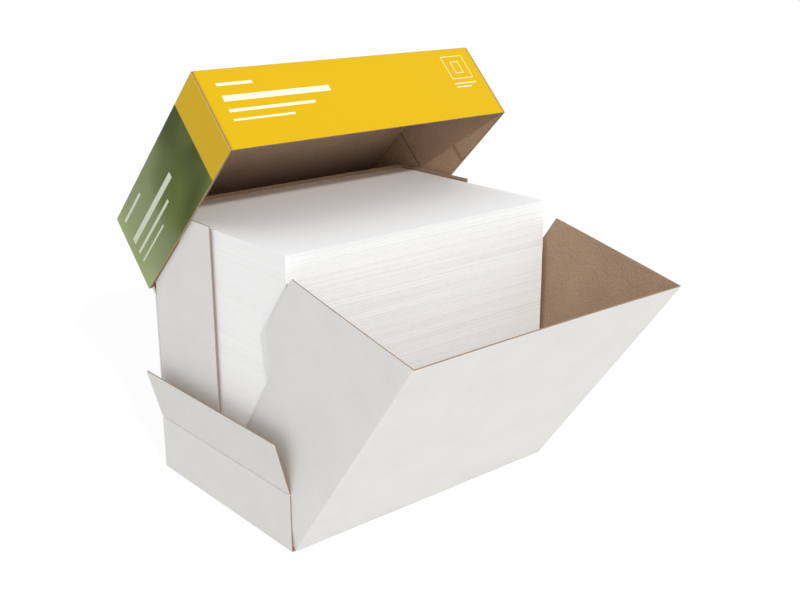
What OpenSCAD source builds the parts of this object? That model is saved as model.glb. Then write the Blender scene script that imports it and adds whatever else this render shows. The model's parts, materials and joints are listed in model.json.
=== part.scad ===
// Flip-top, drop-front carton of thin corrugated board, standing open round a stack of loose paper.
// Millimetres. The origin is on the floor at the middle of the stack: +X runs right along the front,
// +Y goes to the back, +Z is up.
// Each folded panel is drawn as it lies in the closed carton and is then turned open on its crease.

/* [Paper] */
// Long side of a sheet, along the front of the carton
sheet_w = 297; // [200:1:420]
// Short side of a sheet, from front to back
sheet_d = 210; // [148:1:297]
// Height of the stack, 2500 sheets of office paper
stack_h = 259.5; // [150:0.5:320]
// Number of bundles that slipped a little against each other
bundles = 20; // [4:1:30]
// Furthest that a bundle slipped from the middle of the stack
slip = 0.2; // [0.05:0.05:0.4]

/* [Board] */
// Thickness of the corrugated board
board = 1.5; // [1:0.1:2.5]
// Inner radius of a crease
crease_r = 0.3; // [0.2:0.1:1]
// Cut between two panels that turn on each other at a crease
crease_gap = 0.3; // [0.2:0.1:0.6]
// How far outside the outer face a panel's turning line lies
crease_bead = 0.3; // [0.2:0.1:0.6]

/* [Fit] */
// Air between the side of the stack and the wings of the drop front
wing_gap = 0.5; // [0.4:0.1:2]
// Air between the wings and the side panels of the collar
tuck_gap = 0.2; // [0.1:0.1:1]
// Glue line between the side panels of the collar and the bands
glue_gap = 0.3; // [0.2:0.1:1]
// Air between the back of the stack and the collar
back_gap = 1; // [0.5:0.1:5]
// Air between the front of the stack and the closed drop front
front_gap = 3.2; // [1:0.1:10]
// Air between the closed lid and what it covers
lid_gap = 0.3; // [0.2:0.1:2]

/* [Bands] */
// Height of the bands, from the floor to the creases of the side flaps
band_h = 53.9; // [30:0.1:100]
// How far the front end of a band stays behind the closed drop front
band_front = 0.8; // [0.3:0.1:5]
// How far the back end of a band stays short of the back face
band_back = 1.2; // [0:0.1:5]

/* [Side flaps] */
// Height of a side flap above its crease
flap_h = 52.2; // [20:0.1:80]
// Lean of the side flaps away from the carton
flap_open = 15; // [0:0.5:60]

/* [Collar] */
// Height of the collar's rim above the stack
collar_above = 3; // [1:0.5:20]
// Distance of the side panels' front edges behind the middle of the stack
collar_front = 4; // [-40:1:60]

/* [Drop front] */
// Angle to which the drop front is turned forward
drop_open = 36.1; // [25:0.1:60]
// How far the closed drop front ends below the collar's rim
drop_below = 0.5; // [0.3:0.1:10]
// Length of a wing below its tab
wing_l = 106.5; // [60:0.5:130]
// How far the tab of a wing reaches past the wing
tab_reach = 29.4; // [10:0.1:50]
// Upright edge of the tab
tab_edge = 64; // [30:0.5:100]
// Slope of the wing's top edge, down towards the back
wing_slope = 23.4; // [0:0.1:35]

/* [Lid] */
// Height of the lid's walls from the rim to the top
lid_h = 81; // [50:1:120]
// Height of the rim above the crease that the lid turns on
lid_lift = 7; // [3:0.5:15]
// Angle to which the lid is turned back
lid_open = 44.3; // [25:0.1:100]
// Length of the glue tabs that the front wall folds in
front_tab = 78; // [30:1:100]
// Length of the glue tabs that the back wall folds in
back_tab = 82; // [30:1:100]
// How far the end walls stay behind the front wall's outer face
end_setback = 1; // [0:0.1:3]

/* [Hidden] */
$fn = 48;
WHITE = [0.92, 0.92, 0.91];
PAPER = [0.98, 0.98, 0.98];
YELLOW = [0.93, 0.79, 0.15];
EPS = 0.01;

fold_r = crease_r + board;

// From the stack outwards to each side
wing_in = sheet_w / 2 + wing_gap;
wing_out = wing_in + board;
side_in = wing_out + tuck_gap;
side_out = side_in + board;
band_in = side_out + glue_gap;
band_out = band_in + board;
tab_in = side_out + lid_gap;
end_in = tab_in + board;
end_out = end_in + board;
back_half = band_in - crease_r;

// From the stack to the back and to the front
collar_in = sheet_d / 2 + back_gap;
back_in = collar_in + board;
back_out = back_in + board;
front_in = -sheet_d / 2 - front_gap;
front_out = front_in - board;
lid_front = front_out - lid_gap - board;

// From the floor upwards
stack_top = board + stack_h;
collar_top = stack_top + collar_above;
lid_top = collar_top + lid_gap + board;
rim_z = lid_top - lid_h;
hinge_y = back_out + crease_bead;
hinge_z = rim_z - lid_lift;
drop_y = front_in + crease_r;
drop_z = board + crease_r;
drop_top = collar_top - drop_below;
flap_x = band_out + crease_bead;

// A rectangle w wide about the Y axis and d deep, with both corners at y = 0 rounded by r
module rounded_end(w, d, r) {
    translate([-w / 2, r]) square([w, d - r]);
    translate([-w / 2 + r, 0]) square([w - 2 * r, d]);
    for (s = [-1, 1]) translate([s * (w / 2 - r), r]) circle(r);
}

// Section of one board folded twice into a channel: web w wide at y = 0, both legs d long
module channel(w, d) {
    difference() {
        rounded_end(w, d, fold_r);
        translate([0, board]) rounded_end(w - 2 * board, d, crease_r);
    }
}

// Sets a section drawn as (across, up) upright and runs it along Y from y0 to y1
module along_y(y0, y1) {
    translate([0, y1, 0]) rotate([90, 0, 0]) linear_extrude(y1 - y0) children();
}

// Sets a section drawn as (back, up) upright and runs it along X, half of it to each side
module along_x(half) {
    rotate([90, 0, 90]) translate([0, 0, -half]) linear_extrude(2 * half) children();
}

// Turns what is drawn closed about the line through (y, z) along X; a positive angle leans back
module turned_x(y, z, angle) {
    translate([0, y, z]) rotate([-angle, 0, 0]) translate([0, -y, -z]) children();
}

// Bottom panel with the two bands folded up from its sides and the back panel from its rear edge
module carton_base() {
    color(WHITE) {
        along_y(drop_y, back_out - fold_r) channel_floor();
        along_y(front_in + band_front, back_out - band_back) difference() {
            channel(2 * band_out, band_h - crease_gap / 2);
            translate([-back_half, -EPS]) square([2 * back_half, board + 2 * EPS]);
        }
        along_x(back_half) back_section();
    }
}

// Section of the bottom panel between its side creases
module channel_floor() {
    translate([-back_half, 0]) square([2 * back_half, board]);
}

// Section of the rear crease and the back panel, up to the crease that the lid turns on
module back_section() {
    crease_y = back_out - fold_r;
    top = hinge_z - crease_gap / 2;
    translate([back_in, fold_r]) square([board, top - fold_r]);
    translate([crease_y, fold_r]) difference() {
        circle(fold_r);
        circle(crease_r);
        translate([-2 * fold_r, -2 * fold_r]) square([2 * fold_r, 4 * fold_r]);
        translate([-2 * fold_r, 0]) square([4 * fold_r, 2 * fold_r]);
    }
}

// Second blank, glued inside: back panel and two side panels that end half-way along the sides
module inner_collar() {
    color(WHITE) translate([0, back_in, board]) mirror([0, 1, 0])
        linear_extrude(collar_top - board) channel(2 * side_out, back_in - collar_front);
}

// Outline of the drop front seen from its side, as (back, up), with the closed carton's places
module drop_outline() {
    reach = wing_l + tab_reach;
    tab_high = drop_top - (front_in + reach - front_out) * tan(wing_slope);
    tab_low = tab_high - tab_edge;
    polygon([
        [front_out, drop_z],
        [front_out, drop_top],
        [front_in + reach, tab_high],
        [front_in + reach, tab_low],
        [front_in + wing_l, tab_low - tab_reach],
        [front_in + wing_l, drop_z]
    ]);
}

// Section of the bend that joins the closed front panel to the bottom panel once it is turned open
module drop_bend() {
    difference() {
        circle(fold_r);
        circle(crease_r);
        translate([-2 * fold_r, 0]) square([4 * fold_r, 2 * fold_r]);
        rotate(-drop_open) translate([0, -2 * fold_r]) square([2 * fold_r, 4 * fold_r]);
    }
}

// Front panel with a wing folded back from each end, turned forward on the bottom's front crease
module drop_front() {
    color(WHITE) turned_x(drop_y, drop_z, -drop_open) {
        intersection() {
            translate([0, front_out, 0]) linear_extrude(drop_top)
                channel(2 * wing_out, wing_l + tab_reach + board);
            along_x(wing_out) drop_outline();
        }
        along_x(wing_out - fold_r) translate([drop_y, drop_z]) drop_bend();
    }
}

// Sheets in bundles that slipped by small amounts, lying on the bottom panel
module paper_stack() {
    bundle_h = stack_h / bundles;
    color(PAPER) for (i = [0 : bundles - 1])
        translate([slip * sin(137 * i) - sheet_w / 2, slip * cos(97 * i) - sheet_d / 2, board + i * bundle_h])
            cube([sheet_w, sheet_d, bundle_h]);
}

// Flap of the right-hand band, turned out on the band's top crease
module right_flap() {
    front = front_in + band_front;
    back = back_out - band_back;
    color(WHITE) translate([flap_x, 0, band_h]) rotate([0, flap_open, 0])
        translate([-crease_bead - board, front, crease_gap / 2]) cube([board, back - front, flap_h - crease_gap / 2]);
}

module left_flap() {
    mirror([1, 0, 0]) right_flap();
}

// A wall of the lid with a glue tab folded in from each end, seen from above, outer face at y = 0
module lid_wall(tab) {
    linear_extrude(lid_h - fold_r) channel(2 * end_in, tab);
}

// Lid with its front and back walls' tabs glued inside the end walls, turned back on its crease
module lid() {
    depth = back_out - lid_front;
    color(YELLOW) turned_x(hinge_y, hinge_z, lid_open) {
        // Top panel with the creases to the front and back walls
        translate([0, (back_out + lid_front) / 2, lid_top]) mirror([0, 0, 1])
            along_x(end_in - fold_r) channel(depth, 2 * fold_r);
        // Top panel with the creases to the end walls
        translate([0, 0, lid_top]) mirror([0, 0, 1])
            along_y(lid_front + fold_r, back_out - fold_r) channel(2 * end_out, 2 * fold_r);
        // Front and back walls with their tabs
        translate([0, lid_front, rim_z]) lid_wall(front_tab);
        translate([0, back_out, rim_z]) mirror([0, 1, 0]) lid_wall(back_tab);
        // End walls
        for (s = [0, 1]) mirror([s, 0, 0])
            translate([end_in, lid_front + end_setback, rim_z])
                cube([board, depth - end_setback, lid_h - fold_r]);
        // Strip of the back wall below the rim, down to the crease
        translate([-back_half, back_in, hinge_z + crease_gap / 2])
            cube([2 * back_half, board, lid_lift - crease_gap / 2]);
    }
}

carton_base();
inner_collar();
drop_front();
paper_stack();
left_flap();
right_flap();
lid();
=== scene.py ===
# Open carton of loose printer paper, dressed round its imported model. Lengths are metres, angles are
# degrees, and a colour is written as it is seen, from 0 to 255 for red, green and blue.
import json
import math

import bmesh
import bpy
import numpy as np
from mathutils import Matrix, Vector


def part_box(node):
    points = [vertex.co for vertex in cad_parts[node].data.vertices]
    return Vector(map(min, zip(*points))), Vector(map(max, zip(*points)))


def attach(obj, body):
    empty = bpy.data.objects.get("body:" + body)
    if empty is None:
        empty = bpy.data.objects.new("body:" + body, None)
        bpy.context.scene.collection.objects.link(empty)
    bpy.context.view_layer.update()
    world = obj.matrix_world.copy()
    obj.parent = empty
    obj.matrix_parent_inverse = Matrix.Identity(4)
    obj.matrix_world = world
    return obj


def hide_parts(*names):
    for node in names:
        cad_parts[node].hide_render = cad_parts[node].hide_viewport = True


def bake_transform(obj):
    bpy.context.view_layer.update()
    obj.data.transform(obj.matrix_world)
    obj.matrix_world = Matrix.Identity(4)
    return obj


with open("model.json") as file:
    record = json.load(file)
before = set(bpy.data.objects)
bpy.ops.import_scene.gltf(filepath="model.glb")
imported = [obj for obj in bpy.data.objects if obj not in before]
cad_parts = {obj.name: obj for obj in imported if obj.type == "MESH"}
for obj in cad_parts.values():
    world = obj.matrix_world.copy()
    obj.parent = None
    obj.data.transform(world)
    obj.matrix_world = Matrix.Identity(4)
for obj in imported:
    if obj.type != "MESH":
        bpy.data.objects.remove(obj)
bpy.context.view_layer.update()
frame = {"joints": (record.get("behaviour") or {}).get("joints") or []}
joint_at = {joint["name"]: joint["pos_m"] for joint in frame["joints"]}
scene = bpy.context.scene
scene.view_settings.view_transform = "Standard"


# The camera stands to the left of the carton, a little above its open lid, and looks down on it.
# Its place, turn and lens were fitted to the corners of the stack and of the floor panel.
camera_at = (-0.6283, -0.8144, 0.5009)
camera_yaw = 40.162
camera_pitch = 17.996
camera_roll = -0.121
focal_px = 1126.36
middle_px = (400.7, 300.0)
photo_px = (800, 600)

camera = bpy.data.objects.new("camera", bpy.data.cameras.new("camera"))
scene.collection.objects.link(camera)
camera.location = camera_at
camera.rotation_mode = "XYZ"
aim = (
    Matrix.Rotation(math.radians(-camera_yaw), 3, "Z")
    @ Matrix.Rotation(math.radians(90 - camera_pitch), 3, "X")
    @ Matrix.Rotation(math.radians(camera_roll), 3, "Z")
)
camera.rotation_euler = aim.to_euler("XYZ")
camera.data.sensor_width = 36
camera.data.lens = focal_px / photo_px[0] * camera.data.sensor_width
camera.data.shift_x = (photo_px[0] / 2 - middle_px[0]) / photo_px[0]
camera.data.shift_y = (middle_px[1] - photo_px[1] / 2) / photo_px[0]
scene.camera = camera


def node(tree, kind, inputs=None, **settings):
    """One node in tree. inputs gives a socket's value, or the socket of another node that feeds it."""
    made = tree.nodes.new(kind)
    for key, value in settings.items():
        setattr(made, key, value)
    for key, value in (inputs or {}).items():
        if isinstance(value, bpy.types.NodeSocket):
            tree.links.new(value, made.inputs[key])
        else:
            made.inputs[key].default_value = value
    return made


def seen(red, green, blue):
    """The linear colour that shows as these sRGB levels: the sRGB curve undone."""
    levels = np.array([red, green, blue]) / 255
    linear = np.where(levels <= 0.04045, levels / 12.92, ((levels + 0.055) / 1.055) ** 2.4)
    return (*linear.tolist(), 1.0)


def math_node(tree, operation, first, second=0.0, third=0.0):
    """The output of one Math node."""
    return node(tree, "ShaderNodeMath", {0: first, 1: second, 2: third}, operation=operation).outputs[0]


def ranged(tree, value, low, high):
    """Value brought to a share: 0 at low, 1 at high, even between them and level beyond."""
    return node(tree, "ShaderNodeMapRange", {"Value": value, "From Min": low, "From Max": high}).outputs[0]


def mixed(tree, share, first, second):
    """The colour that lies between first and second by the share."""
    return node(tree, "ShaderNodeMix", {0: share, 6: first, 7: second}, data_type="RGBA").outputs[2]


def shown_directly(tree):
    """1 on what the camera sees, straight, mirrored or through glass, and 0 where it only lights something."""
    path = node(tree, "ShaderNodeLightPath")
    shown = math_node(tree, "MAXIMUM", path.outputs["Is Camera Ray"], path.outputs["Is Glossy Ray"])
    return math_node(tree, "MAXIMUM", shown, path.outputs["Is Transmission Ray"])


# The studio: a white floor that goes on past the view, a white surround, and one broad soft lamp from the
# front left. To the camera the floor and the surround are plain white, and the floor keeps a faint shadow.
floor_half = 14.0
surround_level = 0.695
lamp_level = 1.65
lamp_spread = 2.6
lamp_travel = (0.239, 0.836, -0.494)
floor_colour = (250, 250, 249)
floor_share = 0.12
floor_glow = 0.9

world = bpy.data.worlds.new("surround")
scene.world = world
world.use_nodes = True
tree = world.node_tree
tree.nodes.clear()
level = math_node(tree, "MULTIPLY_ADD", shown_directly(tree), 1 - surround_level, surround_level)
glow = node(tree, "ShaderNodeBackground", {"Color": (1, 1, 1, 1), "Strength": level})
node(tree, "ShaderNodeOutputWorld", {"Surface": glow.outputs[0]})

lamp = bpy.data.objects.new("lamp", bpy.data.lights.new("lamp", "SUN"))
scene.collection.objects.link(lamp)
lamp.data.energy = lamp_level
lamp.data.angle = math.radians(lamp_spread)
lamp.rotation_mode = "QUATERNION"
lamp.rotation_quaternion = Vector(lamp_travel).to_track_quat("-Z", "Y")

floor_mesh = bpy.data.meshes.new("floor")
corners = [(x * floor_half, y * floor_half, 0) for x, y in ((-1, -1), (1, -1), (1, 1), (-1, 1))]
floor_mesh.from_pydata(corners, [], [(0, 1, 2, 3)])
floor = bpy.data.objects.new("floor", floor_mesh)
scene.collection.objects.link(floor)
floor_finish = bpy.data.materials.new("white_floor")
floor_finish.use_nodes = True
tree = floor_finish.node_tree
tree.nodes.clear()
matt = node(tree, "ShaderNodeBsdfDiffuse", {"Color": seen(*floor_colour)})
faint = node(tree, "ShaderNodeBsdfDiffuse", {"Color": (floor_share, floor_share, floor_share, 1)})
white = node(tree, "ShaderNodeEmission", {"Color": (1, 1, 1, 1), "Strength": floor_glow})
both = node(tree, "ShaderNodeAddShader", {0: faint.outputs[0], 1: white.outputs[0]})
mix = node(tree, "ShaderNodeMixShader", {0: shown_directly(tree), 1: matt.outputs[0], 2: both.outputs[0]})
node(tree, "ShaderNodeOutputMaterial", {"Surface": mix.outputs[0]})
floor_mesh.materials.append(floor_finish)


# The carton base: thin corrugated board, cut flat and scored, with the two side bands and the back panel
# folded up from the floor panel. White liner outside, brown kraft liner inside, kraft showing on every cut.
board = 0.0015
crease_inner = 0.0003
crease_mid = crease_inner + board / 2
crease_steps = 6
crease_press = 0.0008
press_width = 0.0009
wrap_width = 0.0022
panel_pitch = 0.012
base_low, base_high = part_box("carton_base")
flap_axis = joint_at["right_flap_hinge"]
crease_cut = 0.0003
band_top = flap_axis[2] - crease_cut / 2
band_front = -0.1074
band_back = 0.1078
flute_pitch = 0.0032
slack = 0.0001


def folded(corners, pitch=panel_pitch):
    """Middle line of a board folded at the given corners: straight runs with a point every pitch or less,
    joined by arcs of the crease's middle radius. A corner with no turn only places a point. Returns the
    points, the unit tangents, the length along the line, and for each step the number of its run (even)
    or of its arc (odd)."""
    corners = np.array(corners, float)
    way = np.diff(corners, axis=0)
    way /= np.linalg.norm(way, axis=1)[:, None]
    turn = np.arctan2(way[:-1, 0] * way[1:, 1] - way[:-1, 1] * way[1:, 0], (way[:-1] * way[1:]).sum(1))
    cut = crease_mid * np.tan(np.abs(turn) / 2)
    points, tangents, parts = [], [], []
    start = corners[0]
    for run, ahead in enumerate(way):
        last = run == len(way) - 1
        stop = corners[run + 1] - ahead * (0 if last else cut[run])
        steps = max(1, math.ceil(np.linalg.norm(stop - start) / pitch - 1e-6))
        share = np.linspace(0, 1, steps + 1)[:, None]
        skip = 1 if run and abs(turn[run - 1]) < 1e-9 else 0
        points.append((start + (stop - start) * share)[skip:])
        tangents.append(np.repeat(ahead[None], steps + 1 - skip, 0))
        parts.append(np.full(steps, 2 * run))
        if last:
            break
        if abs(turn[run]) > 1e-9:
            angle = np.linspace(0, abs(turn[run]), crease_steps + 1)[1:-1, None]
            side = np.sign(turn[run]) * np.array([-ahead[1], ahead[0]])
            points.append(stop + crease_mid * (np.sin(angle) * ahead + (1 - np.cos(angle)) * side))
            tangents.append(np.cos(angle) * ahead + np.sin(angle) * side)
            parts.append(np.full(crease_steps, 2 * run + 1))
        start = corners[run + 1] + way[run + 1] * cut[run]
    points = np.concatenate(points)
    length = np.concatenate([[0], np.cumsum(np.linalg.norm(np.diff(points, axis=0), axis=1))])
    return points, np.concatenate(tangents), length, np.concatenate(parts)


def board_faces(mid, outward, flat, keep, joined=None, press=0.0):
    """Board of even thickness round the grid mid, (n, m, 3): the outer face lies half a board along
    outward, the inner face half a board against it. keep, (n-1, m-1), says which cells are board. Each
    edge of such a cell gets a cut face, unless the cell beyond it is board too or joined, keep's grid
    with a border, says it is. press is how far the outer face is pressed in, at each point of the grid.
    Returns vertices, faces, the liner of each face (0 outer, 1 inner, 2 cut) and the UV of each face
    corner: the blank's flat coordinates, or along the edge and through the board on a cut face."""
    rows, columns = keep.shape
    number = np.arange(mid.shape[0] * mid.shape[1]).reshape(mid.shape[:2])
    count = number.size
    a, b, c, d = number[:-1, :-1], number[1:, :-1], number[1:, 1:], number[:-1, 1:]
    outer = np.stack([a, b, c, d], -1)[keep]
    beyond = np.zeros((rows + 2, columns + 2), bool) if joined is None else joined.copy()
    beyond[1:-1, 1:-1] = keep
    cuts = []
    for down, across, p, q in ((0, -1, a, b), (1, 0, b, c), (0, 1, c, d), (-1, 0, d, a)):
        bare = keep & ~beyond[1 + down : rows + 1 + down, 1 + across : columns + 1 + across]
        cuts.append(np.stack([p[bare], p[bare] + count, q[bare] + count, q[bare]], -1))
    cut = np.concatenate(cuts)
    faces = np.concatenate([outer, outer[:, ::-1] + count, cut])
    liner = np.repeat([0, 1, 2], [len(outer), len(outer), len(cut)])
    spread = np.concatenate([flat.reshape(-1, 2)] * 2)
    uv = spread[faces]
    uv[liner == 2, :, 1] = [1, 0, 0, 1]
    half = outward * board / 2
    sunk = outward * np.broadcast_to(press, mid.shape[:2])[..., None]
    vertices = np.concatenate([(mid + half - sunk).reshape(-1, 3), (mid - half).reshape(-1, 3)])
    i, j = np.argwhere(keep)[0]
    facing = np.cross(mid[i + 1, j] - mid[i, j], mid[i, j + 1] - mid[i, j])
    if facing @ outward[i, j] < 0:
        faces, uv = faces[:, ::-1], uv[:, ::-1]
    return vertices, faces, liner, uv


def board_piece(name, finishes, *parts):
    """One object from the parts that board_faces made, with the finishes of the outer liner, the inner
    liner and the cuts. Points that coincide are merged, so that parts that were folded from one blank are
    one skin."""
    shift = np.cumsum([0] + [len(part[0]) for part in parts[:-1]])
    vertices = np.concatenate([part[0] for part in parts])
    faces = np.concatenate([part[1] + step for part, step in zip(parts, shift)])
    mesh = bpy.data.meshes.new(name)
    mesh.from_pydata(vertices, [], faces)
    mesh.polygons.foreach_set("material_index", np.concatenate([part[2] for part in parts]).astype(np.int32))
    uv = np.concatenate([part[3].reshape(-1, 2) for part in parts])
    mesh.uv_layers.new(name="flat").data.foreach_set("uv", uv.astype(np.float32).ravel())
    for finish in finishes:
        mesh.materials.append(finish)
    merged = bmesh.new()
    merged.from_mesh(mesh)
    bmesh.ops.remove_doubles(merged, verts=merged.verts, dist=1e-6)
    bare = [vertex for vertex in merged.verts if not vertex.link_faces]
    bmesh.ops.delete(merged, geom=bare, context="VERTS")
    merged.to_mesh(mesh)
    merged.free()
    mesh.shade_smooth()
    mesh.set_sharp_from_angle(angle=math.radians(35))
    piece = bpy.data.objects.new(name, mesh)
    scene.collection.objects.link(piece)
    return piece


def group(name, inputs, outputs):
    """An empty shader node group with named float, vector or colour sockets."""
    made = bpy.data.node_groups.new(name, "ShaderNodeTree")
    kinds = {"f": "NodeSocketFloat", "v": "NodeSocketVector", "c": "NodeSocketColor"}
    for label, kind in inputs.items():
        made.interface.new_socket(label, in_out="INPUT", socket_type=kinds[kind])
    for label, kind in outputs.items():
        made.interface.new_socket(label, in_out="OUTPUT", socket_type=kinds[kind])
    return made, made.nodes.new("NodeGroupInput").outputs, made.nodes.new("NodeGroupOutput").inputs


def placed(tree, made, inputs):
    """The outputs of a node group placed in tree with these inputs."""
    return node(tree, "ShaderNodeGroup", inputs, node_tree=made).outputs


# Fibres lie mostly along the paper machine's run: two layers of noise, drawn out along one direction
fibres, given, put = group(
    "fibres", {"Place": "v", "Size": "f", "Stretch": "f", "Cloud": "f"}, {"Fibre": "f", "Cloud": "f"}
)
drawn = node(fibres, "ShaderNodeSeparateXYZ", {0: given["Place"]})
thin = math_node(fibres, "DIVIDE", drawn.outputs[0], given["Size"])
long = math_node(fibres, "DIVIDE", drawn.outputs[1], given["Size"])
long = math_node(fibres, "DIVIDE", long, given["Stretch"])
where = node(fibres, "ShaderNodeCombineXYZ", {0: thin, 1: long, 2: drawn.outputs[2]})
fine = node(fibres, "ShaderNodeTexNoise", {"Vector": where.outputs[0], "Scale": 1.0, "Detail": 4.0, "Roughness": 0.7})
fibres.links.new(fine.outputs[0], put["Fibre"])
wide = node(fibres, "ShaderNodeVectorMath", {0: given["Place"], "Scale": given["Cloud"]}, operation="SCALE")
cloud = node(fibres, "ShaderNodeTexNoise", {"Vector": wide.outputs[0], "Scale": 1.0, "Detail": 3.0})
fibres.links.new(cloud.outputs[0], put["Cloud"])

# The flutes under a liner show through as faint ripples, a wave across the flutes that comes and goes
ripples, given, put = group("ripples", {"Place": "v", "Pitch": "f", "Cloud": "f"}, {"Height": "f"})
drawn = node(ripples, "ShaderNodeSeparateXYZ", {0: given["Place"]})
phase = math_node(ripples, "DIVIDE", drawn.outputs[0], given["Pitch"])
wave = math_node(ripples, "SINE", math_node(ripples, "MULTIPLY", phase, 2 * math.pi))
ripples.links.new(math_node(ripples, "MULTIPLY", wave, given["Cloud"]), put["Height"])


def matt_finish(name, roughness, shine):
    """A new material: returns it with its node tree, its Principled shader and the places of the UV layer."""
    finish = bpy.data.materials.new(name)
    finish.use_nodes = True
    tree = finish.node_tree
    skin = tree.nodes["Principled BSDF"]
    skin.inputs["Roughness"].default_value = roughness
    skin.inputs["Specular IOR Level"].default_value = shine
    return finish, tree, skin, node(tree, "ShaderNodeUVMap", uv_map="flat").outputs[0]


def liner_bump(tree, skin, place, paper, ripple_depth, fibre_depth):
    """The flutes' ripples and the fibres' own tooth as bump."""
    wavy = placed(tree, ripples, {"Place": place, "Pitch": flute_pitch, "Cloud": paper["Cloud"]})
    height = math_node(tree, "MULTIPLY", wavy["Height"], ripple_depth)
    height = math_node(tree, "MULTIPLY_ADD", paper["Fibre"], fibre_depth, height)
    bump = node(tree, "ShaderNodeBump", {"Height": height, "Distance": 1.0, "Strength": 1.0})
    tree.links.new(bump.outputs[0], skin.inputs["Normal"])


cloud_scale = 28.0


def liner(name, light, dark, roughness, fibre_size, fibre_stretch, fibre_share, ripple_depth, fibre_depth):
    """Liner of corrugated board: a colour between dark and light by its fibres and clouds, with bump."""
    finish, tree, skin, place = matt_finish(name, roughness, 0.25)
    paper = placed(
        tree, fibres, {"Place": place, "Size": fibre_size, "Stretch": fibre_stretch, "Cloud": cloud_scale}
    )
    tone = math_node(tree, "MULTIPLY", paper["Fibre"], fibre_share)
    tone = math_node(tree, "MULTIPLY_ADD", paper["Cloud"], 1 - fibre_share, tone)
    tree.links.new(mixed(tree, ranged(tree, tone, 0.3, 0.7), dark, light), skin.inputs["Base Color"])
    liner_bump(tree, skin, place, paper, ripple_depth, fibre_depth)
    return finish


white_liner = liner(
    "white_liner", seen(227, 226, 224), seen(214, 213, 211), 0.62, 0.0011, 2.5, 0.75, 1.2e-5, 2e-5
)
kraft_liner = liner(
    "kraft_liner", seen(204, 174, 147), seen(158, 134, 111), 0.9, 0.0011, 3.0, 0.8, 2.5e-5, 7e-5
)


def cut_edge(name, *colours):
    """Cut face of the board, in five colours as seen: the outer liner's own cut at the outer border in outer,
    the kraft liner's cut at the inner border in inner, darker than the liner, partly its own colour and
    partly painted shade of the seam beside it, and between them the fluted middle layer, a wave along
    the edge from dark to light, with shadowed air on both sides in the colour hollow, painted shade. UV
    x is metres across the flutes, UV y goes from 0 inside to 1 outside."""
    outer, inner, light, dark, hollow = (seen(*colour) for colour in colours)
    flute_middle, flute_swing = 0.46, 0.22
    finish, tree, skin, place = matt_finish(name, 0.9, 0.2)
    parts = node(tree, "ShaderNodeSeparateXYZ", {0: place})
    along, through = parts.outputs[0], parts.outputs[1]
    wave = math_node(tree, "SINE", math_node(tree, "MULTIPLY", along, 2 * math.pi / flute_pitch))
    middle = math_node(tree, "MULTIPLY_ADD", wave, flute_swing, flute_middle)
    off = math_node(tree, "ABSOLUTE", math_node(tree, "SUBTRACT", through, middle))
    rim = math_node(tree, "ABSOLUTE", math_node(tree, "SUBTRACT", through, flute_middle))
    gap = math_node(tree, "MULTIPLY", ranged(tree, off, 0.09, 0.18), ranged(tree, rim, 0.32, 0.26))
    solid = node(tree, "ShaderNodeTexCoord").outputs["Object"]
    grain = placed(tree, fibres, {"Place": solid, "Size": 0.0012, "Stretch": 1.0, "Cloud": 60.0})
    whole = mixed(tree, gap, mixed(tree, grain["Fibre"], dark, light), hollow)
    for colour, clear, full in ((outer, 0.74, 0.82), (inner, 0.12, 0.06)):
        whole = mixed(tree, ranged(tree, through, clear, full), whole, colour)
    tree.links.new(whole, skin.inputs["Base Color"])
    return finish


# The plain board's cut. The brown at its inner border is partly the kraft liner's own colour and partly painted shade
# of the seam.
plain_cut = cut_edge(
    "cut_board", (224, 216, 206), (139, 118, 101), (187, 168, 150), (163, 145, 128), (129, 112, 98)
)
plain_board = (white_liner, kraft_liner, plain_cut)


def right_of(tangents):
    """Unit vectors to the right of the tangents."""
    return np.stack([tangents[:, 1], -tangents[:, 0]], 1)


# Across: down the left band, over the floor panel, up the right band. Along: floor panel, then the back
# panel
band_mid = base_high.x - board / 2
back_mid = base_high.y - board / 2
back_half = band_mid - crease_mid
wrap_from = back_half - wrap_width
across, across_way, across_length, across_part = folded(
    [
        (-band_mid, band_top),
        (-band_mid, band_top - press_width),
        (-band_mid, board / 2),
        (-wrap_from, board / 2),
        (wrap_from, board / 2),
        (band_mid, board / 2),
        (band_mid, band_top - press_width),
        (band_mid, band_top),
    ]
)
along, along_way, along_length, along_part = folded(
    [
        (base_low.y, board / 2),
        (back_mid, board / 2),
        (back_mid, base_high.z - press_width),
        (back_mid, base_high.z),
    ]
)
across_out = right_of(across_way)
along_out = right_of(along_way)
mid = np.empty((len(across), len(along), 3))
mid[..., 0] = across[:, None, 0]
mid[..., 1] = along[None, :, 0]
mid[..., 2] = across[:, None, 1] + along[None, :, 1] - board / 2
outward = np.zeros_like(mid)
outward[..., 0] = across_out[:, None, 0]
outward[..., 1] = along_out[None, :, 0]
outward[..., 2] = across_out[:, None, 1] + along_out[None, :, 1] + 1
# A band starts a little behind the floor panel's front edge, and ends a little past the rear crease's start
on_band = np.abs(across_out[:, :1])
floor_end = along[along_part.tolist().index(1), 0]
share = np.clip((mid[..., 1] - base_low.y) / (floor_end - base_low.y), 0, 1)
mid[..., 1] += on_band * ((1 - share) * (band_front - base_low.y) + share * (band_back - floor_end))
flat = np.stack(np.broadcast_arrays(across_length[:, None], along_length[None]), -1)
keep = np.isin(across_part, (4, 6, 8))[:, None] | (along_part[None] == 0)
press = np.zeros(mid.shape[:2])
press[[0, -1]] = press[:, -1] = crease_press
vertices, faces, liner_of, uv = board_faces(mid, outward, flat, keep, press=press)
# White liner is wrapped over the side cuts of the back panel and a little way inside
middle = vertices[faces].mean(1)
from_side = np.abs(middle[:, 0])
wrapped = (middle[:, 1] > back_mid - board) & (from_side > wrap_from) & (from_side < back_half + slack)
liner_of[wrapped] = 0
carton_base = board_piece("folded_base", plain_board, (vertices, faces, liner_of, uv))
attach(carton_base, "root")
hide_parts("carton_base")


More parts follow.
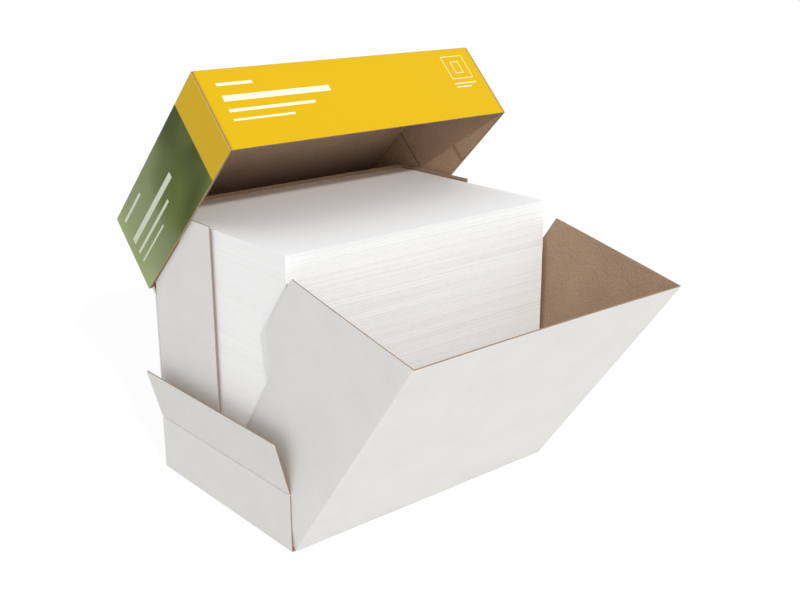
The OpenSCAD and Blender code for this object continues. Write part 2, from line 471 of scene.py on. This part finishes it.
# The collar: a second blank of the same board, glued inside the base. Its back panel and two side panels
# stand round the rear half of the stack, and its kraft rim rises just above the sheets.
collar_low, collar_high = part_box("inner_collar")
collar_side = collar_high.x - board / 2
collar_back = collar_high.y - board / 2


def walls(line, way, length, low, high, steps):
    """Upright board over the plan line, from height low to height high in so many steps."""
    rise = np.linspace(low, high, steps + 1)
    mid = np.empty((len(line), steps + 1, 3))
    mid[..., :2] = line[:, None]
    mid[..., 2] = rise
    outward = np.zeros_like(mid)
    outward[..., :2] = right_of(way)[:, None]
    flat = np.stack(np.broadcast_arrays(length[:, None], rise[None]), -1)
    return mid, outward, flat


plan, plan_way, plan_length, plan_part = folded(
    [
        (collar_side, collar_low.y),
        (collar_side, collar_back),
        (-collar_side, collar_back),
        (-collar_side, collar_low.y),
    ]
)
mid, outward, flat = walls(plan, plan_way, plan_length, collar_low.z, collar_high.z, 22)
keep = np.ones((mid.shape[0] - 1, mid.shape[1] - 1), bool)
collar = board_piece("glued_collar", plain_board, board_faces(mid, outward, flat, keep))
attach(collar, "root")
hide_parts("inner_collar")


# The drop front: the front panel, turned forward on the floor panel's front crease. A wing is folded back
# from each end of it, with a sloped top edge and a tab that tucks inside the collar when the front is shut.
drop_turn = 36.1
wing_mid = 0.1505 - board / 2
front_face = -0.1097
front_mid = front_face + board / 2
drop_axis = (-0.1079, 0.0018)
drop_top = 0.2635
wing_end = -0.0017
tab_end = 0.0277
tab_high = 0.20405
tab_low = 0.14005
tab_root = 0.11065


def turned(points, axis, degrees):
    """Points turned about the line along X through axis = (y, z). A positive angle tips the top to the back."""
    angle = math.radians(degrees)
    back = points[..., 1] - axis[0]
    up = points[..., 2] - axis[1]
    made = points.copy()
    made[..., 1] = axis[0] + back * math.cos(angle) + up * math.sin(angle)
    made[..., 2] = axis[1] - back * math.sin(angle) + up * math.cos(angle)
    return made


plan, plan_way, plan_length, plan_part = folded(
    [
        (-wing_mid, tab_end),
        (-wing_mid, wing_end),
        (-wing_mid, front_mid),
        (wing_mid, front_mid),
        (wing_mid, wing_end),
        (wing_mid, tab_end),
    ]
)
back = plan[:, 1]
top = drop_top - (drop_top - tab_high) * np.clip((back - front_face) / (tab_end - front_face), 0, 1)
waist = tab_root + (tab_low - tab_root) * np.clip((back - wing_end) / (tab_end - wing_end), 0, 1)
low_steps = 9
top_steps = 12
low_share = np.linspace(0, 1, low_steps + 1)[:, None]
top_share = np.linspace(0, 1, top_steps + 1)[1:, None]
low_rows = drop_axis[1] + (waist - drop_axis[1]) * low_share
top_rows = waist + (top - waist) * top_share
bend = np.radians(np.linspace(90 - drop_turn, 0, crease_steps + 1)[:-1, None])
bend_rows = drop_axis[1] - crease_mid * np.sin(bend) + 0 * waist
height = np.concatenate([bend_rows, low_rows, top_rows]).T
mid = np.empty((*height.shape, 3))
mid[..., :2] = plan[:, None]
mid[..., 2] = height
mid[:, :crease_steps, 1] += crease_mid * (1 - np.cos(bend.T))
outward = np.zeros_like(mid)
outward[..., :2] = right_of(plan_way)[:, None]
outward[:, :crease_steps, 1] *= np.cos(bend.T)
outward[:, :crease_steps, 2] = -np.sin(bend.T)
steps_up = height.shape[1] - 1
row = np.arange(steps_up)[None]
is_tab = np.isin(plan_part, (0, 8))[:, None]
is_front = (plan_part == 4)[:, None]
keep = np.where(row < crease_steps, is_front, ~is_tab | (row >= crease_steps + low_steps))
flat = np.stack([np.broadcast_to(plan_length[:, None], height.shape), height], -1)
# The long free panel bows inwards a little between its folded ends. Its free end spreads and racks a
# little, the free ends of the wings stand out from the stack, and their feet spring out until they rest
# on the bands.
bow = 0.0009
bow_arc = 0.62 * math.pi
spread = 0.002
rack = 0.001
wing_flare = 0.0021
flare_foot = 0.07
flare_head = 0.27
foot_spring = 0.0018
foot_height = 0.05
foot_fade = 0.04
foot_reach = 0.012
risen = np.clip((height - drop_axis[1]) / (drop_top - drop_axis[1]), 0, 1)
inward = np.clip(1 - (plan[:, 0] / wing_mid) ** 2, 0, 1)[:, None] * np.sin(risen * bow_arc)
mid -= outward * (bow * inward * (np.abs(plan_way[:, :1]) > 0.99))[..., None]
mid[..., 0] += risen * (rack + spread * plan[:, :1] / wing_mid)
reach = np.clip((mid[..., 1] - front_mid) / (wing_end - front_mid), 0, 1)
mid = turned(mid, drop_axis, -drop_turn)
lift = np.clip((mid[..., 2] - flare_foot) / (flare_head - flare_foot), 0, 1)
mid[..., 0] += np.sign(plan[:, :1]) * wing_flare * reach * np.sin(lift * math.pi)
held = np.clip((back[:, None] - front_mid - crease_mid) / foot_reach, 0, 1)
held = held * np.clip((foot_height + foot_fade - mid[..., 2]) / foot_fade, 0, 1)
mid[..., 0] += np.sign(plan[:, :1]) * foot_spring * held**2 * (3 - 2 * held)
outward = turned(outward, (0, 0), -drop_turn)
drop = board_piece("folded_drop_front", plain_board, board_faces(mid, outward, flat, keep))
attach(drop, "root")
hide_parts("drop_front")


# The paper: 2500 loose sheets of white office paper. Every sheet's edge is drawn, each one slipped by a
# few hundredths of a millimetre, in the bundles that the machine jogged together.
stack_low, stack_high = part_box("paper_stack")
sheet_size = np.array([0.297, 0.210])
sheet_count = 2500
bundle_count = 20
bundle_slip = 0.00005
sheet_slip = 0.000012
jog_slip = 0.000012
jog_sheets = 10
slip_limit = 0.0003


def stack_faces():
    """Edges of all sheets as one skin: the sheet's outline, a rectangle with points along its sides, goes
    round each sheet at its foot and at its head, and each sheet has its own slip."""
    rng = np.random.default_rng(5)
    sheet = np.arange(sheet_count)
    bundle = sheet * bundle_count // sheet_count
    slip = bundle_slip * np.stack([np.sin(np.radians(137 * bundle)), np.cos(np.radians(97 * bundle))], 1)
    jog = np.repeat(rng.normal(0, jog_slip, (sheet_count // jog_sheets, 2)), jog_sheets, 0)
    own = rng.normal(0, sheet_slip, (sheet_count, 2))
    middle = slip + np.clip(jog + own, -slip_limit, slip_limit)
    half = sheet_size / 2
    share = np.linspace(-1, 1, 4)[:-1]
    one = np.ones_like(share)
    outline = np.concatenate(
        [np.stack(side, 1) for side in ((share, -one), (one, share), (-share, one), (-one, -share))]
    )
    ring = np.repeat(outline[None] * half + middle[:, None], 2, 0)
    rise = np.linspace(stack_low.z, stack_high.z, sheet_count + 1)
    level = np.stack([rise[:-1], rise[1:]], 1).ravel()
    vertices = np.concatenate([ring, np.broadcast_to(level[:, None, None], (*ring.shape[:2], 1))], -1)
    count = outline.shape[0]
    number = np.arange(vertices.shape[0] * count).reshape(-1, count)
    right = np.roll(number, -1, 1)
    sides = np.stack([number[:-1], right[:-1], right[1:], number[1:]], -1).reshape(-1, 4)
    lengths = np.linalg.norm(np.diff(np.concatenate([outline, outline[:1]]) * half, axis=0), axis=1)
    girth = np.concatenate([[0], np.cumsum(lengths)])
    left_u = np.broadcast_to(girth[:-1], number[:-1].shape).ravel()
    right_u = np.broadcast_to(girth[1:], number[:-1].shape).ravel()
    low_v = np.broadcast_to(level[:-1, None], number[:-1].shape).ravel()
    high_v = np.broadcast_to(level[1:, None], number[:-1].shape).ravel()
    uv = np.stack([[left_u, low_v], [right_u, low_v], [right_u, high_v], [left_u, high_v]]).transpose(2, 0, 1)
    return vertices.reshape(-1, 3), sides, uv, number


def paper_finish(name, lined):
    """White office paper. On the stack's sides, lined, the colour follows the sheets: thin level lines of
    slightly different white, worked out from the height alone, with a little wander along the stack. The
    front and back faces get a cooler, brighter pair of whites than the left and right ones: painted light."""
    finish, tree, skin, place = matt_finish(name, 0.85, 0.2)
    if lined:
        parts = node(tree, "ShaderNodeSeparateXYZ", {0: place})
        tone = 0.0
        for size, weight, wander, layer in ((0.0004, 0.35, 250.0, 0.4), (0.0005, 0.65, 2.5, 0.5)):
            up = math_node(tree, "DIVIDE", parts.outputs[1], size)
            side = math_node(tree, "MULTIPLY", parts.outputs[0], wander)
            where = node(tree, "ShaderNodeCombineXYZ", {0: side, 1: up, 2: layer})
            lines = node(tree, "ShaderNodeTexNoise", {"Vector": where.outputs[0], "Scale": 1.0, "Detail": 1.0})
            tone = math_node(tree, "MULTIPLY_ADD", lines.outputs[0], weight, tone)
        # Front and back faces take cooler, brighter whites than the ends by the way they face: painted light.
        facing = node(tree, "ShaderNodeSeparateXYZ", {0: node(tree, "ShaderNodeTexCoord").outputs["Normal"]})
        front_or_back_painted_light = math_node(tree, "ABSOLUTE", facing.outputs[1])
        dark = mixed(tree, front_or_back_painted_light, seen(240, 240, 240), seen(234, 238, 240))
        light = mixed(tree, front_or_back_painted_light, seen(248, 248, 248), seen(253, 255, 255))
    else:
        tone = placed(tree, fibres, {"Place": place, "Size": 0.0015, "Stretch": 1.5, "Cloud": 40.0})["Fibre"]
        dark, light = seen(250, 251, 252), seen(253, 254, 255)
    tree.links.new(mixed(tree, ranged(tree, tone, 0.36, 0.6), dark, light), skin.inputs["Base Color"])
    bump = node(tree, "ShaderNodeBump", {"Height": tone, "Distance": 4e-5, "Strength": 1.0})
    tree.links.new(bump.outputs[0], skin.inputs["Normal"])
    return finish


vertices, sides, uv, number = stack_faces()
stack_mesh = bpy.data.meshes.new("loose_sheets")
caps = [number[0, ::-1].tolist(), number[-1].tolist()]
stack_mesh.from_pydata(vertices, [], sides.tolist() + caps)
cap_uv = np.concatenate([vertices[caps[0], :2], vertices[caps[1], :2]])
stack_uv = np.concatenate([uv.reshape(-1, 2), cap_uv])
stack_mesh.uv_layers.new(name="flat").data.foreach_set("uv", stack_uv.astype(np.float32).ravel())
stack_liner = np.repeat([0, 1], [len(sides), 2]).astype(np.int32)
stack_mesh.polygons.foreach_set("material_index", stack_liner)
stack_mesh.materials.append(paper_finish("sheet_edges", True))
stack_mesh.materials.append(paper_finish("sheet_face", False))
stack = bpy.data.objects.new("loose_sheets", stack_mesh)
scene.collection.objects.link(stack)
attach(stack, "root")
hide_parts("paper_stack")


# The side flaps: low flaps of the same board on top of the bands, leaning outwards on their scored creases.
# A crease is the board itself, pressed thin and bent to the flap's lean.
flap_lean = 15.0
flap_height = 0.0522
crease_bead = 0.0003
crease_rows = 12
crease_deep = 0.0004
strip_steps = 24
flap_steps = 18
flap_rows = 6


def crease_rows_at(lean):
    """The pressed board in a crease, bent about its turning line: rows go from one panel's cut edge to
    the next one's, each turned by its share of the lean about the line. Returns the outer and the inner
    face's points as (inwards from the line, upwards from the line). The outer face is pressed in, most
    along the middle."""
    share = np.linspace(0, 1, crease_rows + 1)
    angle = np.radians(lean) * share
    rise = (share - 0.5) * crease_cut
    faces = []
    sunk = crease_press + crease_deep * np.sin(share * math.pi)
    for depth in (crease_bead + sunk, np.full_like(share, crease_bead + board)):
        inwards = depth * np.cos(angle) - rise * np.sin(angle)
        upwards = depth * np.sin(angle) + rise * np.cos(angle)
        faces.append(np.stack([inwards, upwards], 1))
    return faces


def crease_strip(name, lean, ends, place, finishes):
    """A crease strip along the line from ends[0] to ends[1]. place turns the distances inwards, upwards and
    along the line into a point of the frame."""
    outer, inner = crease_rows_at(lean)
    run = np.linspace(ends[0], ends[1], strip_steps + 1)
    outer_face, inner_face = (
        place(face[None, :, 0], face[None, :, 1], run[:, None]) for face in (outer, inner)
    )
    share = np.linspace(0, crease_cut, crease_rows + 1)
    flat = np.stack(np.broadcast_arrays(run[:, None], share[None]), -1)
    keep = np.ones((len(run) - 1, crease_rows), bool)
    faces = board_faces((outer_face + inner_face) / 2, (outer_face - inner_face) / board, flat, keep)
    strip = board_piece(name, finishes, faces)
    first, last = -crease_cut / 2, min(outer[-1, 1], inner[-1, 1])
    middle = (ends[0] + ends[1]) / 2
    tuple(place(0.0, first, middle))
    tuple(place(0.0, last, middle))
    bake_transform(strip)


def side_flap(side, name, body):
    """One flap on the right (side 1) or left (side -1), upright first and then leaned out on its crease."""
    pivot_x, pivot_z = flap_axis[0], flap_axis[2]
    run = np.linspace(band_front, band_back, flap_steps + 1)
    foot = crease_cut / 2
    rise = np.concatenate([[foot], np.linspace(foot + press_width, flap_height, flap_rows)])
    lean = math.radians(flap_lean)
    inset = crease_bead + board / 2
    mid = np.empty((len(run), len(rise), 3))
    mid[..., 0] = side * (pivot_x - inset * math.cos(lean) + rise * math.sin(lean))
    mid[..., 1] = run[:, None]
    mid[..., 2] = pivot_z + inset * math.sin(lean) + rise * math.cos(lean)
    outward = np.broadcast_to([side * math.cos(lean), 0, -math.sin(lean)], mid.shape)
    flat = np.stack(np.broadcast_arrays(run[:, None], rise[None]), -1)
    keep = np.ones((len(run) - 1, len(rise) - 1), bool)
    press = np.where(rise > foot, 0.0, crease_press)
    flap = board_piece(name, plain_board, board_faces(mid, outward, flat, keep, press=press))
    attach(flap, body)
    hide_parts(body)

    def place(inwards, upwards, along):
        return np.stack(np.broadcast_arrays(side * (pivot_x - inwards), along, pivot_z + upwards), -1)

    crease_strip(name + "_crease", flap_lean, (band_front, band_back), place, plain_board)


side_flap(-1, "left_side_flap", "left_flap")
side_flap(1, "right_side_flap", "right_flap")


# The lid: one printed blank. The end walls hang from the top panel's creases, and the front and back walls'
# glue tabs are folded in and glued to their inner faces. It is turned back on the back panel's top crease.
lid_turn = 44.3
lid_low, lid_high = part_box("lid")
end_mid = lid_high.x - board / 2
lid_axis = joint_at["lid_hinge"][1:]
lid_front = -0.1115
lid_back = base_high.y
lid_top = 0.2658
rim = 0.1848
tab_mid = end_mid - board
end_setback = 0.001
front_tab = 0.078
back_tab = 0.082
fold_outer = crease_inner + board
wall_top = lid_top - fold_outer
wall_rows = 8
print_strip = 0.0432
print_depth = 0.22
rim_fade = 0.08
plate_half = tab_mid + board / 2 - fold_outer


def lid_top_part():
    """Top panel with both end walls, over a line across the lid. Its front and back edges are joined to the
    folds of the front and back walls between the end creases."""
    line, way, length, part = folded(
        [
            (-end_mid, rim),
            (-end_mid, lid_top - board / 2),
            (-plate_half, lid_top - board / 2),
            (-wrap_from, lid_top - board / 2),
            (wrap_from, lid_top - board / 2),
            (plate_half, lid_top - board / 2),
            (end_mid, lid_top - board / 2),
            (end_mid, rim),
        ]
    )
    out = -right_of(way)
    on_wall = np.abs(out[:, :1])
    steps = 20
    share = np.linspace(0, 1, steps + 1)[None]
    first = lid_front + fold_outer + on_wall * (end_setback - fold_outer)
    last = lid_back - fold_outer + on_wall * fold_outer
    mid = np.empty((len(line), steps + 1, 3))
    mid[..., 0] = line[:, :1]
    mid[..., 1] = first + (last - first) * share
    mid[..., 2] = line[:, 1:]
    outward = np.zeros_like(mid)
    outward[..., 0] = out[:, :1]
    outward[..., 2] = out[:, 1:]
    centred = np.broadcast_to((length - length[-1] / 2)[:, None], mid.shape[:2])
    flat = np.stack([centred, mid[..., 1] - lid_front], -1)
    keep = np.ones((len(line) - 1, steps), bool)
    joined = np.zeros((len(line) + 1, steps + 2), bool)
    joined[1:-1, 0] = joined[1:-1, -1] = np.isin(part, (4, 6, 8))
    return turned(mid, lid_axis, lid_turn), turned(outward, (0, 0), lid_turn), flat, keep, joined


def lid_wall_part(face, side, tab, foot):
    """Front wall (side -1) or back wall (side 1) of the lid with its two glue tabs, over a plan line.
    face is the wall's outer face, tab the tabs' length and foot how far the plain wall goes on below the
    rim. Rows above the wall follow the fold into the top panel, an arc of the crease's middle radius."""
    wall_mid = face - side * board / 2
    tab_tip = face - side * tab
    line, way, length, part = folded(
        [
            (side * tab_mid, tab_tip),
            (side * tab_mid, wall_mid),
            (side * wrap_from, wall_mid),
            (-side * wrap_from, wall_mid),
            (-side * tab_mid, wall_mid),
            (-side * tab_mid, tab_tip),
        ]
    )
    on_wall = np.isin(part, (2, 4, 6))
    out = right_of(way)
    below = rim - foot + np.array([0, press_width, foot / 2]) if foot else np.empty(0)
    rows = np.concatenate([below, np.linspace(rim, wall_top, wall_rows)])
    bend = np.radians(np.linspace(0, 90, crease_steps + 1)[1:])
    height = np.concatenate([rows, wall_top + crease_mid * np.sin(bend)])
    step_in = np.concatenate([0 * rows, crease_mid * (1 - np.cos(bend))])
    tilt = np.concatenate([0 * rows, bend])
    mid = np.empty((len(line), len(height), 3))
    mid[..., :2] = line[:, None]
    mid[..., 1] -= side * step_in
    mid[..., 2] = height
    outward = np.zeros_like(mid)
    outward[..., :2] = out[:, None] * np.cos(tilt)[:, None]
    outward[..., 2] = np.sin(tilt)
    arc = np.concatenate([wall_top - rows, -crease_mid * bend])
    depth = face - lid_front + side * arc
    centred = -side * (length - length[-1] / 2)
    flat = np.stack(np.broadcast_arrays(centred[:, None], depth[None]), -1)
    row = np.arange(len(height) - 1)[None]
    only_wall = (row < len(below)) | (row >= len(rows) - 1)
    keep = ~only_wall | on_wall[:, None]
    joined = np.zeros((keep.shape[0] + 2, keep.shape[1] + 2), bool)
    joined[1:-1, -1] = on_wall
    press = np.where(height < rim - foot + press_width / 2, crease_press, 0.0) if foot else 0.0
    return turned(mid, lid_axis, lid_turn), turned(outward, (0, 0), lid_turn), flat, keep, joined, press


# Plain pale bars stand where a carton carries its title, each as (left, right, top, foot): on the front
# wall from the middle and down from the top crease, and on the end walls from the front and out from the
# middle of the lid
front_bars = (
    (-0.139, -0.104, -0.0135, -0.0165),
    (-0.139, -0.030, -0.0265, -0.0325),
    (-0.139, -0.052, -0.0405, -0.0435),
    (-0.139, -0.078, -0.0505, -0.0525),
    (0.114, 0.141, -0.0400, -0.0411),
    (0.114, 0.133, -0.0440, -0.0451),
)
front_frames = ((0.114, 0.141, -0.0080, -0.0350), (0.1225, 0.1325, -0.0145, -0.0285))
end_bars = (
    (0.160, 0.208, -0.1650, -0.1680),
    (0.098, 0.208, -0.1860, -0.1920),
    (0.120, 0.208, -0.2000, -0.2030),
    (0.146, 0.208, -0.2100, -0.2120),
)
frame_line = 0.0006
bar_edge = 0.0002

bar, given, put = group(
    "bar", {"Across": "f", "Up": "f", "Left": "f", "Right": "f", "Top": "f", "Foot": "f"}, {"Mask": "f"}
)
inside = math_node(bar, "SUBTRACT", given["Across"], given["Left"])
inside = math_node(bar, "MINIMUM", inside, math_node(bar, "SUBTRACT", given["Right"], given["Across"]))
inside = math_node(bar, "MINIMUM", inside, math_node(bar, "SUBTRACT", given["Top"], given["Up"]))
inside = math_node(bar, "MINIMUM", inside, math_node(bar, "SUBTRACT", given["Up"], given["Foot"]))
bar.links.new(ranged(bar, inside, -bar_edge, bar_edge), put["Mask"])


def bars_mask(tree, across, up, bars, frames=()):
    """Mask of the bars and frames, worked out from the distances across and up."""

    def box(left, right, top, foot):
        given = {"Across": across, "Up": up, "Left": left, "Right": right, "Top": top, "Foot": foot}
        return placed(tree, bar, given)["Mask"]

    mask = 0.0
    for left, right, top, foot in bars:
        mask = math_node(tree, "MAXIMUM", box(left, right, top, foot), mask)
    for left, right, top, foot in frames:
        hole = box(left + frame_line, right - frame_line, top - frame_line, foot + frame_line)
        mask = math_node(tree, "MAXIMUM", math_node(tree, "SUBTRACT", box(left, right, top, foot), hole), mask)
    return mask


def print_finish():
    """Matt print on the white liner. A yellow field covers the front wall and goes on over the front
    strip of the lid; on the end walls it is a darker yellow, which is painted shade. Behind it a soft
    green field goes from dark to light towards the back, darker again towards the rim, with blurred
    patches. UV x is metres from the middle of the lid, UV y metres from the front wall's crease."""
    finish, tree, skin, place = matt_finish("lid_print", 0.5, 0.12)
    parts = node(tree, "ShaderNodeSeparateXYZ", {0: place})
    across, depth = parts.outputs[0], parts.outputs[1]
    out = math_node(tree, "ABSOLUTE", across)
    on_end = math_node(tree, "GREATER_THAN", out, plate_half)
    low = ranged(tree, out, plate_half, plate_half + rim_fade)
    far = ranged(tree, depth, print_strip, print_depth)
    patch = node(tree, "ShaderNodeTexNoise", {"Vector": place, "Scale": 17.0, "Detail": 0.5, "Roughness": 0.3})
    drawn = node(tree, "ShaderNodeVectorMath", {0: place, 1: (34.0, 13.0, 1.0)}, operation="MULTIPLY")
    blade = node(tree, "ShaderNodeTexNoise", {"Vector": drawn.outputs[0], "Scale": 1.0, "Detail": 0.4})
    near_rim = math_node(tree, "MULTIPLY", low, math_node(tree, "SUBTRACT", 1.0, far))
    tone = math_node(tree, "MULTIPLY_ADD", near_rim, -0.3, far)
    tone = math_node(tree, "MULTIPLY_ADD", math_node(tree, "SUBTRACT", patch.outputs[0], 0.66), 0.42, tone)
    ramp = node(tree, "ShaderNodeValToRGB", {0: tone})
    stops = (
        (0.0, (60, 69, 22)),
        (0.14, (68, 79, 29)),
        (0.26, (86, 97, 50)),
        (0.44, (124, 134, 94)),
        (0.75, (140, 150, 108)),
        (0.95, (158, 170, 116)),
    )
    for index, (at, colour) in enumerate(stops):
        stop = ramp.color_ramp.elements[index] if index < 2 else ramp.color_ramp.elements.new(at)
        stop.position = at
        stop.color = seen(*colour)
    leafy = math_node(tree, "MULTIPLY", near_rim, ranged(tree, blade.outputs[0], 0.35, 0.65))
    green = mixed(tree, leafy, ramp.outputs[0], seen(104, 122, 44))
    # The end walls get a darker copy of the yellow: painted shade.
    yellow_painted_shade_on_ends = mixed(tree, on_end, seen(220, 179, 14), seen(208, 169, 20))
    front = ranged(tree, depth, print_strip - slack, print_strip + slack)
    field = mixed(tree, front, yellow_painted_shade_on_ends, green)
    title = bars_mask(tree, across, depth, front_bars, front_frames)
    side_title = bars_mask(tree, depth, math_node(tree, "MULTIPLY", out, -1.0), end_bars)
    for mask, colour in ((title, seen(248, 244, 214)), (side_title, seen(206, 211, 190))):
        field = mixed(tree, mask, field, colour)
    tree.links.new(field, skin.inputs["Base Color"])
    paper = placed(tree, fibres, {"Place": place, "Size": 0.0011, "Stretch": 4.0, "Cloud": cloud_scale})
    liner_bump(tree, skin, place, paper, 1.2e-5, 1.5e-5)
    return finish


def lid_wall(face, side, tab, foot):
    """Faces of the front or the back wall with the finish of each: 3, plain white liner, is wrapped over
    the side cuts of the strip between the back wall's rim and the crease, and 4 is the cut of the glue
    tabs, in the dark browns of painted shade."""
    made = board_faces(*lid_wall_part(face, side, tab, foot))
    middle = turned(made[0][made[1]].mean(1), lid_axis, -lid_turn)
    # The glue tabs' cuts get finish 4, dark with painted shade.
    made[2][(made[2] == 2) & (side * (face - middle[:, 1]) > board + slack)] = 4
    made[2][(middle[:, 2] < rim - press_width) & (np.abs(middle[:, 0]) > wrap_from)] = 3
    return made


# The printed board's cut. Its dark inner border is painted shade, of the groove behind the walls' folds and of the
# rim's inner side.
printed_cut = cut_edge(
    "printed_cut", (202, 180, 132), (124, 98, 68), (190, 162, 118), (160, 134, 96), (134, 110, 78)
)
# The glue tabs' cut faces, all in dark browns: painted shade, for tips that lie in the lid's shadow.
tab_cut_painted_shade = cut_edge(
    "tab_cut_painted_shade", (146, 120, 94), (104, 80, 58), (148, 122, 98), (118, 96, 74), (96, 76, 58)
)
lid = board_piece(
    "printed_lid",
    (print_finish(), kraft_liner, printed_cut, white_liner, tab_cut_painted_shade),
    board_faces(*lid_top_part()),
    lid_wall(lid_front, -1, front_tab, 0),
    lid_wall(lid_back, 1, back_tab, rim - lid_axis[1] - crease_cut / 2),
)
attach(lid, "lid")
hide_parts("lid")


def lid_crease_at(inwards, upwards, along):
    """A point of the lid's crease from its distances to the turning line."""
    return np.stack(np.broadcast_arrays(along, lid_axis[0] - inwards, lid_axis[1] + upwards), -1)


wrapped_ends = (white_liner, kraft_liner, white_liner)
crease_strip("lid_crease", lid_turn, (-back_half, back_half), lid_crease_at, wrapped_ends)


bpy.context.view_layer.update()
